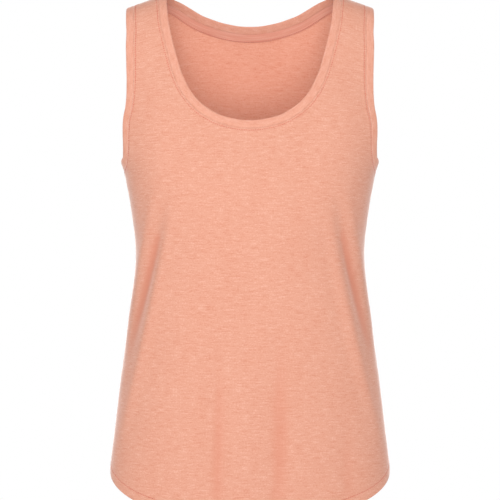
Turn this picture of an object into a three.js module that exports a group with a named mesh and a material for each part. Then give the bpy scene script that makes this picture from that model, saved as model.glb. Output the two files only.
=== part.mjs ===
// A women's sleeveless tank top in slub jersey, filled out as when it is worn.
//
// Units are millimetres, +Z is up, the front faces -Y and the wearer's left arm is at +X.
// The origin lies between the straps, level with the neck ends of the two shoulder seams.
//
// Every piece lies on one smooth form. A place on it has two coordinates:
//   turn  degrees round the form, 0 on the centre line and 90 or -90 at the side seams
//   fall  square root of the drop below the shoulder line, negative in front, positive behind,
//         so that it passes evenly over the rounded shoulder

import * as THREE from 'three';

// ---- Cloth and sewing -------------------------------------------------------------------

const CLOTH = 1.2;          // wall of one layer of jersey
const SEAM_GAP = 0.3;       // between two sewn pieces
const BAND_WIDTH = 9.8;     // neck and armhole bands, a strip folded double
const BAND_PROUD = 0.4;     // how far a band stands out from each face of the panel
const BAND_ROUND = 0.7;     // rounding of a band's folded edge
const TAPE_WIDTH = 10;      // tape inside the back neck
const TAPE_WALL = 1;
const HEM_DEPTH = 12.5;     // cloth turned up inside the hem
const HEM_STEP = 0.8;       // height over which the turned-up layer ends

// ---- The worn form ----------------------------------------------------------------------

const NECK_HALF = 111;      // centre to the neck end of the shoulder seam
const ARM_HALF = 150;       // centre to the arm end of the shoulder, band included
const SHOULDER_FALL = 14;   // from the neck end of the shoulder to its arm end
const CHEST_DROP = 260;     // fullest level of the chest, below the shoulder line
const CROWN_FRONT = 1.45;   // how soon the chest fills out below the shoulder
const CROWN_BACK = 1.6;

// Level sections of the form: drop below the shoulder line, half width, depth in front of
// and behind the shoulder line, and squareness (2 is an ellipse).
const SECTIONS = [
  { drop: 0, half: 208, front: 145, back: 135, square: 2.3 },
  { drop: 35, half: 199, front: 124, back: 113, square: 2.3 },
  { drop: 75, half: 188, front: 112, back: 99, square: 2.3 },
  { drop: 110, half: 180, front: 110, back: 94, square: 2.3 },
  { drop: 145, half: 174, front: 112, back: 92, square: 2.3 },
  { drop: 180, half: 165.5, front: 113.5, back: 91, square: 2.3 },
  { drop: 204, half: 156.3, front: 115, back: 90, square: 2.3 },
  { drop: 212, half: 152.6, front: 115.4, back: 89, square: 2.3 },
  { drop: 231, half: 148.9, front: 116.3, back: 87, square: 2.3 },
  { drop: 247, half: 145.8, front: 116.5, back: 86, square: 2.28 },
  { drop: 290, half: 140.4, front: 114, back: 82, square: 2.25 },
  { drop: 327, half: 138.8, front: 110, back: 80, square: 2.25 },
  { drop: 351, half: 140.4, front: 108, back: 80, square: 2.25 },
  { drop: 394, half: 147.2, front: 107, back: 83, square: 2.2 },
  { drop: 449, half: 155.4, front: 108, back: 90, square: 2.15 },
  { drop: 528, half: 164.8, front: 113, back: 100, square: 2.1 },
  { drop: 575, half: 170.3, front: 116, back: 104, square: 2.1 },
  { drop: 640, half: 172, front: 118, back: 106, square: 2.1 },
];

// Neck seam from the centre front, over the shoulder, to the centre back. across is measured
// from the centre line, and a drop is below the shoulder line, negative in front.
const NECK = [
  { across: 0, drop: -166.7 },
  { across: 37, drop: -160.2 },
  { across: 63.3, drop: -144.6 },
  { across: 79.5, drop: -125.2 },
  { across: 90.4, drop: -103 },
  { across: 97.1, drop: -82 },
  { across: 103.8, drop: -55 },
  { across: 108.6, drop: -29 },
  { across: 111, drop: 0 },
  { across: 102, drop: 7.5 },
  { across: 89.5, drop: 16.5 },
  { across: 72, drop: 29.5 },
  { across: 56.5, drop: 38.3 },
  { across: 31, drop: 47.5 },
  { across: 0, drop: 51.5 },
];

// Armhole seam from the front underarm, over the shoulder, to the back underarm.
const ARMHOLE = [
  { turn: 90, drop: -212 },
  { turn: 80, drop: -209.8 },
  { turn: 70.4, drop: -204.2 },
  { turn: 63.6, drop: -192.4 },
  { turn: 59.9, drop: -181 },
  { turn: 57.8, drop: -169.3 },
  { turn: 54.8, drop: -152 },
  { turn: 50.8, drop: -134 },
  { turn: 47.4, drop: -101.5 },
  { turn: 43.7, drop: -56 },
  { turn: 41.5, drop: -32 },
  { turn: 39.8, drop: 0 },
  { turn: 41.5, drop: 45 },
  { turn: 45.5, drop: 95 },
  { turn: 50.5, drop: 135 },
  { turn: 58.5, drop: 172 },
  { turn: 67, drop: 195 },
  { turn: 78, drop: 208.5 },
  { turn: 90, drop: 212 },
];

// The hem is lowest at the centre and rises in a round curve to the side seams.
const HEM_SIDE = 575;       // drop of the hem at the side seam
const HEM_TAIL = 53;        // how much lower the centre hangs

// The largest folds. Each runs down from its top drop to its end drop through three places
// across the form (negative to the wearer's right); a positive height is a ridge, a negative
// one a trough, and spread is its half width.
const FOLDS = [
  { face: -1, top: 235, end: 345, from: -120, by: -127, to: -133, height: 2.0, spread: 7 },
  { face: -1, top: 240, end: 445, from: -112, by: -131, to: -148, height: -3.0, spread: 6 },
  { face: -1, top: 270, end: 515, from: -107, by: -132, to: -160, height: 3.0, spread: 9 },
  { face: -1, top: 235, end: 345, from: 121, by: 129, to: 137, height: 2.0, spread: 7 },
  { face: -1, top: 250, end: 450, from: 108, by: 126, to: 150, height: -3.0, spread: 6 },
  { face: -1, top: 280, end: 515, from: 108, by: 132, to: 160, height: 3.0, spread: 9 },
  { face: -1, top: 455, end: 690, from: -34, by: -37, to: -38, height: -2.2, spread: 11 },
  { face: -1, top: 455, end: 690, from: -8, by: -16, to: -22, height: 1.6, spread: 16 },
  { face: -1, top: 470, end: 690, from: 40, by: 40, to: 38, height: -2.0, spread: 12 },
  { face: -1, top: 480, end: 690, from: 112, by: 117, to: 120, height: -1.8, spread: 14 },
  { face: 1, top: 250, end: 430, from: -96, by: -116, to: -140, height: -2.8, spread: 9 },
  { face: 1, top: 265, end: 470, from: 92, by: 118, to: 146, height: -2.8, spread: 10 },
  { face: 1, top: 290, end: 520, from: -40, by: -62, to: -88, height: 2.2, spread: 16 },
  { face: 1, top: 300, end: 560, from: 34, by: 58, to: 78, height: 2.2, spread: 18 },
  { face: 1, top: 450, end: 690, from: -12, by: -4, to: 4, height: -2.2, spread: 18 },
];

// ---- How finely the solids are cut ------------------------------------------------------

const FRONT_GRID = { upper: 16, lower: 17, columns: 20 };
const BACK_GRID = { upper: 14, lower: 14, columns: 15 };
const ROWS_TO_SHOULDER = 1.3;   // crowds the rows towards the rounded shoulder
const SIDE_CROWDING = 0.1;      // crowds the columns towards the folds beside the side seam
const ROW_SAG = 1.05;           // how far, in fall, the row from neck to underarm hangs through

// ---- Colours ----------------------------------------------------------------------------

const JERSEY = { color: 0xf0a98e, roughness: 0.95, metalness: 0 };
const JERSEY_BAND = { color: 0xf0ab93, roughness: 0.95, metalness: 0 };
const JERSEY_INSIDE = { color: 0xe8a084, roughness: 0.95, metalness: 0 };

// ---- Curves through tables --------------------------------------------------------------

/** Smooth value at `at`, through `values` at the places `knots`. */
function smoothValue(knots, values, at) {
  const last = knots.length - 1;
  let i = 0;
  while (i < last - 1 && at > knots[i + 1]) i += 1;
  const slope = (k) => {
    const a = Math.max(k - 1, 0);
    const b = Math.min(k + 1, last);
    return (values[b] - values[a]) / (knots[b] - knots[a]);
  };
  const width = knots[i + 1] - knots[i];
  const t = THREE.MathUtils.clamp((at - knots[i]) / width, 0, 1);
  const rise = t * t * (3 - 2 * t);
  const leave = t * (1 - t) * (1 - t) * width * slope(i);
  const arrive = t * t * (t - 1) * width * slope(i + 1);
  return values[i] * (1 - rise) + values[i + 1] * rise + leave + arrive;
}

const SECTION_DROPS = SECTIONS.map((row) => row.drop);

function sectionSize(column, drop) {
  return smoothValue(SECTION_DROPS, SECTIONS.map((row) => row[column]), drop);
}

// ---- The form ---------------------------------------------------------------------------

/** Height of the shoulder line above the origin, this far from the centre. */
function shoulderLine(across) {
  const run = ARM_HALF ** 2 - NECK_HALF ** 2;
  return (-SHOULDER_FALL * (across ** 2 - NECK_HALF ** 2)) / run;
}

/** How much of its full depth the form has reached at this drop. */
function crown(drop, power) {
  const above = Math.max(1 - drop / CHEST_DROP, 0);
  return Math.sqrt(1 - above ** power);
}

/** How far the folds push the cloth out at a place on one face of the form. */
function foldHeight(face, across, drop) {
  let height = 0;
  for (const fold of FOLDS) {
    const along = (drop - fold.top) / (fold.end - fold.top);
    if (fold.face !== face || along <= 0 || along >= 1) continue;
    const straight = THREE.MathUtils.lerp(fold.from, fold.to, along);
    const bow = fold.by - (fold.from + fold.to) / 2;
    const middle = straight + 4 * bow * along * (1 - along);
    const fade = Math.sin(Math.PI * along) ** 0.7;
    height += fold.height * fade * Math.exp(-(((across - middle) / fold.spread) ** 2));
  }
  return height;
}

/** The place on the outer face of the cloth at these two coordinates. */
function formPoint(turn, fall) {
  const face = fall > 0 ? 1 : -1;
  const drop = fall * fall;
  const half = sectionSize('half', drop);
  const power = 2 / sectionSize('square', drop);
  const depth = face > 0
    ? sectionSize('back', drop) * crown(drop, CROWN_BACK)
    : sectionSize('front', drop) * crown(drop, CROWN_FRONT);
  const sine = Math.abs(Math.sin(THREE.MathUtils.degToRad(turn)));
  const cosine = Math.max(Math.cos(THREE.MathUtils.degToRad(turn)), 0);
  const across = Math.sign(turn) * half * sine ** power;
  const level = Math.max(1 - drop / CHEST_DROP, 0) ** 2;
  const point = new THREE.Vector3(
    across,
    face * depth * cosine ** power,
    shoulderLine(across) * level - drop,
  );
  const height = foldHeight(face, across, drop);
  if (height !== 0) {
    const outward = new THREE.Vector3(
      (Math.sign(turn) * sine ** (2 - power)) / half,
      (face * cosine ** (2 - power)) / depth,
      0,
    );
    point.addScaledVector(outward.normalize(), height);
  }
  return point;
}

const TURN_STEP = 0.2;
const FALL_STEP = 0.01;

/** The two directions of the form's coordinates, in mm for each step of the coordinate. */
function formSteps(turn, fall) {
  const side = Math.sign(turn) || 1;
  const inner = side * Math.max(Math.abs(turn) - TURN_STEP, 0);
  const outer = side * Math.min(Math.abs(turn) + TURN_STEP, 90);
  const round = formPoint(outer, fall).sub(formPoint(inner, fall)).divideScalar(outer - inner);
  const over = formPoint(turn, fall + FALL_STEP).sub(formPoint(turn, fall - FALL_STEP));
  return { round, over: over.divideScalar(2 * FALL_STEP) };
}

/** The outward normal of the form. */
function formNormal({ turn, fall }) {
  const { round, over } = formSteps(turn, fall);
  return round.cross(over).normalize();
}

// ---- Seam lines -------------------------------------------------------------------------

/** The turn that reaches this far across the form. */
function turnAt(across, fall) {
  const drop = fall * fall;
  const part = Math.abs(across) / sectionSize('half', drop);
  const sine = Math.min(part ** (sectionSize('square', drop) / 2), 1);
  return Math.sign(across) * THREE.MathUtils.radToDeg(Math.asin(sine));
}

/**
 * A smooth seam through the rows of a table, from the front over the shoulder to the back.
 * Both ends cross a mirror line of the garment, so the seam runs on there as its own image.
 * `column` is the coordinate beside the drop, `toPlace` turns that pair into a place on the
 * form, and `inward` is 1 where the cloth lies to the right of the seam, as seen from outside.
 */
function seamLine(table, column, toPlace, inward) {
  const sideways = table.map((row) => row[column]);
  const falls = table.map((row) => Math.sign(row.drop) * Math.sqrt(Math.abs(row.drop)));
  const points = sideways.map((value, i) => {
    const place = toPlace(value, falls[i]);
    return formPoint(place.turn, place.fall);
  });
  const lengths = [0];
  points.slice(1).forEach((point, i) => lengths.push(lengths[i] + point.distanceTo(points[i])));
  const length = lengths.at(-1);
  const runOn = (values, mirrored) => [
    mirrored(values[1], values[0]), ...values, mirrored(values.at(-2), values.at(-1)),
  ];
  const knots = runOn(lengths, (value, end) => 2 * end - value);
  const sidewaysKnots = runOn(sideways, (value, end) => 2 * end - value);
  const fallKnots = runOn(falls, (value) => value);
  const placeAt = (at) => toPlace(
    smoothValue(knots, sidewaysKnots, at),
    smoothValue(knots, fallKnots, at),
  );
  return { length, shoulder: lengths[falls.indexOf(0)], placeAt, inward };
}

const NECK_SEAM = seamLine(NECK, 'across', (across, fall) => ({
  turn: turnAt(across, fall),
  fall,
}), 1);

const ARMHOLE_SEAM = seamLine(ARMHOLE, 'turn', (turn, fall) => ({ turn, fall }), -1);

/** The seam's point, its outward normal, and the direction along the surface into the cloth. */
function seamFrame(seam, at) {
  const place = seam.placeAt(at);
  const before = seam.placeAt(Math.max(at - 1, 0));
  const after = seam.placeAt(Math.min(at + 1, seam.length));
  const along = formPoint(after.turn, after.fall).sub(formPoint(before.turn, before.fall));
  const normal = formNormal(place);
  const inward = along.cross(normal).normalize().multiplyScalar(seam.inward);
  return { place, point: formPoint(place.turn, place.fall), normal, inward };
}

/** The place on the form this far from the seam, into the cloth. */
function placeInside(seam, at, distance) {
  const { place, inward } = seamFrame(seam, at);
  const { round, over } = formSteps(place.turn, place.fall);
  const mixed = round.dot(over);
  const spread = round.lengthSq() * over.lengthSq() - mixed * mixed;
  const onRound = (round.dot(inward) * over.lengthSq() - over.dot(inward) * mixed) / spread;
  const onOver = (over.dot(inward) * round.lengthSq() - round.dot(inward) * mixed) / spread;
  return {
    turn: place.turn + distance * onRound,
    fall: place.fall === 0 ? 0 : place.fall + distance * onOver,
  };
}

/** Lengths along a seam from its end on one face of the garment up to the shoulder. */
function rowsUpSeam(seam, face, rows) {
  const start = face < 0 ? 0 : seam.length;
  return Array.from({ length: rows + 1 }, (_, row) => {
    const part = 1 - (1 - row / rows) ** ROWS_TO_SHOULDER;
    return row === rows ? seam.shoulder : THREE.MathUtils.lerp(start, seam.shoulder, part);
  });
}

// ---- Closed solids ----------------------------------------------------------------------

/** A mesh from corner points and triangles, with its faces turned outwards. */
function closedMesh(name, points, triangles, look) {
  const volume = triangles.reduce((sum, [a, b, c]) => (
    sum + points[a].dot(points[b].clone().cross(points[c]))
  ), 0);
  const faces = volume > 0 ? triangles : triangles.map(([a, b, c]) => [a, c, b]);
  const geometry = new THREE.BufferGeometry().setFromPoints(points);
  geometry.setIndex(faces.flat());
  geometry.computeVertexNormals();
  const mesh = new THREE.Mesh(geometry, new THREE.MeshStandardMaterial(look));
  mesh.name = name;
  return mesh;
}

/** Two triangles for four corners in order. */
function quad(a, b, c, d) {
  return [[a, b, c], [a, c, d]];
}

/**
 * A sheet of cells given a wall. Each cell is four nodes in order, and each node holds its
 * outer and its inner point. The rim closes every edge that only one cell has.
 */
function sheetSolid(name, cells, look) {
  const nodes = [...new Set(cells.flat())];
  const index = new Map(nodes.map((node, i) => [node, i]));
  const points = [...nodes.map((node) => node.outer), ...nodes.map((node) => node.inner)];
  const triangles = [];
  const edges = new Map();
  for (const cell of cells) {
    const [a, b, c, d] = cell.map((node) => index.get(node));
    const deep = nodes.length;
    triangles.push(...quad(a, b, c, d), ...quad(a + deep, d + deep, c + deep, b + deep));
    for (const [from, to] of [[a, b], [b, c], [c, d], [d, a]]) {
      if (!edges.delete(`${to},${from}`)) edges.set(`${from},${to}`, [from, to]);
    }
  }
  for (const [from, to] of edges.values()) {
    triangles.push(...quad(to, from, from + nodes.length, to + nodes.length));
  }
  return closedMesh(name, points, triangles, look);
}

/** A closed ring through sections that all have the same number of points. */
function ringSolid(name, sections, look) {
  const count = sections[0].length;
  const triangles = [];
  sections.forEach((_, s) => {
    const next = (s + 1) % sections.length;
    for (let i = 0; i < count; i += 1) {
      const j = (i + 1) % count;
      triangles.push(...quad(s * count + i, next * count + i, next * count + j, s * count + j));
    }
  });
  return closedMesh(name, sections.flat(), triangles, look);
}

// ---- Panels -----------------------------------------------------------------------------

/** How far out from the centre line, from 0 to 1, each column of a grid lies. */
function columnPart(part) {
  return part + SIDE_CROWDING * Math.sin(Math.PI * part);
}

/** Drop of the hem's edge at this turn. */
function hemDrop(turn) {
  return HEM_SIDE + HEM_TAIL * Math.cos(THREE.MathUtils.degToRad(turn));
}

/** The places of half a panel, row by row from the hem up to the shoulder seam. */
function halfPanelPlaces(face, grid) {
  const parts = Array.from({ length: grid.columns }, (_, i) => columnPart(i / (grid.columns - 1)));
  const neckRows = rowsUpSeam(NECK_SEAM, face, grid.upper);
  const armRows = rowsUpSeam(ARMHOLE_SEAM, face, grid.upper);
  const upper = neckRows.map((at, row) => {
    const edge = NECK_SEAM.placeAt(at);
    const inner = placeInside(NECK_SEAM, at, TAPE_WIDTH);
    const outer = ARMHOLE_SEAM.placeAt(armRows[row]);
    const sag = face * ROW_SAG * (1 - row / grid.upper) ** 2;
    const across = parts.map((part) => ({
      turn: THREE.MathUtils.lerp(row === 0 ? 0 : inner.turn, outer.turn, part),
      fall: THREE.MathUtils.lerp(inner.fall, outer.fall, 1 - (1 - part) ** 2)
        + sag * Math.sin(Math.PI * part),
    }));
    return [edge, ...across];
  });
  const top = upper[0].slice(1);
  const rises = [0, HEM_DEPTH, HEM_DEPTH + HEM_STEP];
  const lower = [];
  for (let row = 0; row < rises.length + grid.lower; row += 1) {
    lower.push([null, ...top.map(({ turn, fall }) => {
      const hem = hemDrop(turn);
      const start = hem - rises[Math.min(row, rises.length - 1)];
      const part = Math.max(row - rises.length + 1, 0) / (grid.lower + 1);
      return { turn, fall: face * Math.sqrt(THREE.MathUtils.lerp(start, fall * fall, part)) };
    })]);
  }
  return [...lower, ...upper];
}

/** The cells of a panel, both halves, with the centre line shared below the neck. */
function panelCells(face, grid) {
  const places = halfPanelPlaces(face, grid);
  const neckRow = places.length - grid.upper - 1;
  const cells = [];
  const made = new Map();
  const node = (side, row, column) => {
    const { turn, fall } = places[row][column];
    const key = turn === 0 ? `centre ${row} ${column}` : `${side} ${row} ${column}`;
    if (!made.has(key)) {
      const outer = formPoint(side * turn, fall);
      const normal = formNormal({ turn: side * turn, fall });
      outer.y += face * SEAM_GAP / 2;
      const wall = row < 2 ? 2 * CLOTH : CLOTH;
      made.set(key, { outer, normal, inner: outer.clone().addScaledVector(normal, -wall) });
    }
    return made.get(key);
  };
  for (let row = 0; row < places.length - 1; row += 1) {
    for (let column = row < neckRow ? 1 : 0; column < grid.columns; column += 1) {
      for (const side of [-1, 1]) {
        const here = node(side, row, column);
        const beside = node(side, row, column + 1);
        const across = node(side, row + 1, column + 1);
        const above = node(side, row + 1, column);
        cells.push({
          nodes: side > 0 ? [here, beside, across, above] : [here, above, across, beside],
          besideNeck: column === 0,
        });
      }
    }
  }
  return cells;
}

// ---- Bands and tape ---------------------------------------------------------------------

/** Sections of a band along a seam, for the wearer's left side, in order along the seam. */
function bandSections(seam) {
  const outside = BAND_PROUD;
  const inside = -CLOTH - BAND_PROUD;
  const edge = SEAM_GAP + BAND_WIDTH;
  const profile = [
    [SEAM_GAP, outside], [edge - BAND_ROUND, outside], [edge, outside - BAND_ROUND],
    [edge, inside + BAND_ROUND], [edge - BAND_ROUND, inside], [SEAM_GAP, inside],
  ];
  const front = rowsUpSeam(seam, -1, FRONT_GRID.upper);
  const back = rowsUpSeam(seam, 1, BACK_GRID.upper).reverse().slice(1);
  return [...front, ...back].map((at) => {
    const { point, normal, inward } = seamFrame(seam, at);
    return profile.map(([reach, height]) => (
      point.clone().addScaledVector(inward, -reach).addScaledVector(normal, height)
    ));
  });
}

/** The same sections on the wearer's right side. */
function mirrored(sections) {
  return sections.map((section) => section.map(({ x, y, z }) => new THREE.Vector3(-x, y, z)));
}

function neckBand() {
  const left = bandSections(NECK_SEAM);
  const right = mirrored(left.slice(1, -1)).reverse();
  return ringSolid('neck_band', [...left, ...right], JERSEY_BAND);
}

function armholeBand(name, side) {
  const left = bandSections(ARMHOLE_SEAM).slice(0, -1);
  return ringSolid(name, side > 0 ? left : mirrored(left), JERSEY_BAND);
}

/** The tape lies on the inner face of the back panel's cells beside the neck seam. */
function backNeckTape(backCells) {
  const made = new Map();
  const lowered = (node) => {
    if (!made.has(node)) {
      const under = (depth) => node.outer.clone().addScaledVector(node.normal, -depth);
      const outer = under(CLOTH + SEAM_GAP);
      made.set(node, { outer, inner: under(CLOTH + SEAM_GAP + TAPE_WALL) });
    }
    return made.get(node);
  };
  const cells = backCells.filter((cell) => cell.besideNeck).map((cell) => cell.nodes.map(lowered));
  return sheetSolid('back_neck_tape', cells, JERSEY_INSIDE);
}

// ---- The garment ------------------------------------------------------------------------

const frontCells = panelCells(-1, FRONT_GRID);
const backCells = panelCells(1, BACK_GRID);

const tankTop = new THREE.Group();
tankTop.name = 'tank_top';
tankTop.add(sheetSolid('front_panel', frontCells.map((cell) => cell.nodes), JERSEY));
tankTop.add(sheetSolid('back_panel', backCells.map((cell) => cell.nodes), JERSEY));
tankTop.add(neckBand());
tankTop.add(armholeBand('armhole_band_left', 1));
tankTop.add(armholeBand('armhole_band_right', -1));
tankTop.add(backNeckTape(backCells));

export default tankTop;
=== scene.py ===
"""A women's sleeveless tank top in melange slub jersey, filled out as when it is worn.

Sizes are in millimetres and are turned into metres when a mesh is made. +Z is up, the front
faces -Y, and the wearer's left arm is at +X. Every piece lies on one smooth worn form, on
which a place has two coordinates:
    turn  degrees round the form, 0 on the centre line and 90 or -90 at the side seams
    fall  square root of the drop below the shoulder line, negative in front, positive behind
"""

import logging
import math
from dataclasses import dataclass, field
from enum import Enum
from functools import partial
from typing import Any, Callable, Sequence

import bpy
import numpy as np
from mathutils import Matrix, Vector


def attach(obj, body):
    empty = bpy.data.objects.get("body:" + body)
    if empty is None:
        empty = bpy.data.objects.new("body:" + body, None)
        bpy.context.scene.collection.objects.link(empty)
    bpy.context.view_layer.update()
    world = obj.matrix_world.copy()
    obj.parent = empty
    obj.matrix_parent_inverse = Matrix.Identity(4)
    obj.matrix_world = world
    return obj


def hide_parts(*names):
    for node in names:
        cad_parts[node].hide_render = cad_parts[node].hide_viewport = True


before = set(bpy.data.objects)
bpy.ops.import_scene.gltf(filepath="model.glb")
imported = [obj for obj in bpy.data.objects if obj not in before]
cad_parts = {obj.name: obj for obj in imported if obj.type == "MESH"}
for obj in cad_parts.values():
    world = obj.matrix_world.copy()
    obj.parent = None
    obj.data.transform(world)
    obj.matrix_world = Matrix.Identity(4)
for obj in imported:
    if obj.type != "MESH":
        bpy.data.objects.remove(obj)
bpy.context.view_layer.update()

LOG = logging.getLogger("tank_top")

MM = 0.001
BODY = "root"

Array = np.ndarray
Pair = tuple[Array, Array]
Colour = tuple[float, float, float, float]
Piece = bpy.types.Object
Material = bpy.types.Material


class Face(Enum):
    """The two faces of the garment; the value is the sign of fall."""

    FRONT = -1
    BACK = 1


class Side(Enum):
    """The wearer's two sides; the value is the sign of turn."""

    RIGHT = -1
    LEFT = 1


class Column(Enum):
    """What a row of a seam table gives beside its drop."""

    ACROSS = "across"
    TURN = "turn"


# ---- Curves through tables ----


def smooth_value(knots: Array, values: Array, at: Array) -> Array:
    """A smooth curve through a table.

    Args:
        knots: Rising places of the table's rows.
        values: The table's value at each knot.
        at: Places to read the curve at.

    Returns:
        The value at each place.
    """
    last = len(knots) - 1
    index = np.arange(last + 1)
    before = np.maximum(index - 1, 0)
    after = np.minimum(index + 1, last)
    slopes = (values[after] - values[before]) / (knots[after] - knots[before])
    cell = np.searchsorted(knots[1:last], at, side="left")
    width = knots[cell + 1] - knots[cell]
    part = np.clip((at - knots[cell]) / width, 0, 1)
    rise = part * part * (3 - 2 * part)
    leave = part * (1 - part) ** 2 * width * slopes[cell]
    arrive = part * part * (part - 1) * width * slopes[cell + 1]
    return values[cell] * (1 - rise) + values[cell + 1] * rise + leave + arrive


def table_value(rows: Sequence[tuple[float, float]], at: Array) -> Array:
    """A smooth curve through (place, value) rows, flat beyond both ends."""
    table = np.array(rows, float)
    return smooth_value(table[:, 0], table[:, 1], np.clip(at, table[0, 0], table[-1, 0]))


def ease(part: Array) -> Array:
    """0 to 1 with no corner at either end."""
    inside = np.clip(part, 0, 1)
    return inside * inside * (3 - 2 * inside)


def blend(start: Any, end: Any, part: Any) -> Any:
    """The value this part of the way from start to end."""
    return start + (end - start) * part


def hump(distance: Array, spread: float) -> Array:
    """A soft bell that is 1 at no distance."""
    return np.exp(-((distance / spread) ** 2))


def unit(vectors: Array) -> Array:
    """The same directions at length 1."""
    return vectors / np.linalg.norm(vectors, axis=-1, keepdims=True)


def dot(one: Array, other: Array) -> Array:
    """Dot products of two arrays of vectors."""
    return (one * other).sum(-1)


def lengths_along(line: Array) -> Array:
    """Distance along a line of points up to each of them."""
    steps = np.linalg.norm(np.diff(line, axis=0), axis=1)
    return np.concatenate([[0], np.cumsum(steps)])


def face_sign(fall: Array) -> Array:
    """-1 in front and 1 behind."""
    return np.where(fall > 0, 1.0, -1.0)


def ripple(at: Array, wave: float, shift: float) -> Array:
    """An uneven wave from -1 to 1.

    Args:
        at: Distances along it.
        wave: About its wavelength.
        shift: Where it starts.

    Returns:
        The wave at each distance.
    """
    slow = np.sin(at / (0.9 * wave) + 1.7 * shift)
    first = np.sin(2 * np.pi * at / wave + 2.2 * slow + shift)
    second = np.sin(2 * np.pi * at / (wave * 1.63) + 2.3 * shift)
    return (0.65 * first + 0.35 * second) * (0.6 + 0.4 * np.sin(at / (1.9 * wave) + shift))


@dataclass(frozen=True)
class Swell:
    """A small ridge, or a groove where its height is negative, along a seam."""

    height: float
    centre: float
    spread: float

    def at(self, distance: Array, share: Any = 1.0) -> Array:
        """This share of its height, at these distances from the seam."""
        return self.height * share * hump(distance - self.centre, self.spread)


# ---- The worn form ----


@dataclass(frozen=True)
class Section:
    """A level section: half width, depth in front and behind, and squareness."""

    drop: float
    half: float
    front: float
    back: float
    square: float


@dataclass(frozen=True)
class Crease:
    """A soft ridge, or a trough where its height is negative, down one face of the cloth.

    It runs from the drop top to the drop end. Its distances from the centre line are start at
    its top, by halfway down and to at its end.
    """

    face: Face
    top: float
    end: float
    start: float
    by: float
    to: float
    height: float
    spread: float
    taper: float = 0.7

    def lift(self, face: Array, across: Array, drop: Array) -> Array:
        """How far the crease pushes the cloth out.

        Args:
            face: -1 in front and 1 behind, for each place.
            across: Distance from the centre line.
            drop: Distance below the shoulder line.

        Returns:
            The height at each place, 0 off the crease.
        """
        along = (drop - self.top) / (self.end - self.top)
        on = (face == self.face.value) & (along > 0) & (along < 1)
        along = np.clip(along, 0, 1)
        bow = self.by - (self.start + self.to) / 2
        middle = blend(self.start, self.to, along) + 4 * bow * along * (1 - along)
        fade = np.sin(np.pi * along) ** self.taper
        return np.where(on, self.height * fade * hump(across - middle, self.spread), 0)


# The form's level sections, from the shoulder down to below the hem.
SECTION_ROWS = [
    (0, 208, 145, 135, 2.3), (35, 199, 124, 113, 2.3), (75, 188, 112, 99, 2.3),
    (110, 180, 110, 94, 2.3), (145, 174, 112, 92, 2.3), (180, 165.5, 113.5, 91, 2.3),
    (204, 156.3, 115, 90, 2.3), (212, 152.6, 115.4, 89, 2.3), (231, 148.9, 116.3, 87, 2.3),
    (247, 145.8, 116.5, 86, 2.28), (290, 140.4, 114, 82, 2.25), (327, 138.8, 110, 80, 2.25),
    (351, 140.4, 108, 80, 2.25), (394, 147.2, 107, 83, 2.2), (449, 155.4, 108, 90, 2.15),
    (528, 164.8, 113, 100, 2.1), (575, 170.3, 116, 104, 2.1), (640, 172, 118, 106, 2.1),
]

# In front, an outer rim, a trough and an inner ridge down each side of the waist, then the
# smaller creases of the lower front and the fullness over the chest. Behind, five soft ones.
CREASE_ROWS = {
    Face.FRONT: [
        (230, 450, -110, -135, -160, 2.4, 6.5),
        (243, 455, -99, -126, -153, -4.0, 8),
        (256, 545, -90, -120.5, -158, 3.8, 7.5),
        (228, 445, 110, 135, 160, 2.3, 6.5),
        (240, 455, 101, 125.5, 153, -3.8, 8),
        (260, 545, 92, 120, 158, 3.6, 7.5),
        (425, 690, -35, -38, -40, -2.7, 11),
        (440, 690, -4, -6, -8, 2.4, 20),
        (390, 690, 36, 34, 31, -2.6, 15),
        (480, 690, 112, 117, 120, -1.8, 14),
        (92, 292, -100, -107, -104, 4.4, 34),
        (92, 292, 100, 107, 104, 4.4, 34),
    ],
    Face.BACK: [
        (250, 430, -96, -116, -140, -2.8, 9),
        (265, 470, 92, 118, 146, -2.8, 10),
        (290, 520, -40, -62, -88, 2.2, 16),
        (300, 560, 34, 58, 78, 2.2, 18),
        (450, 690, -12, -4, 4, -2.2, 18),
    ],
}


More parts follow.
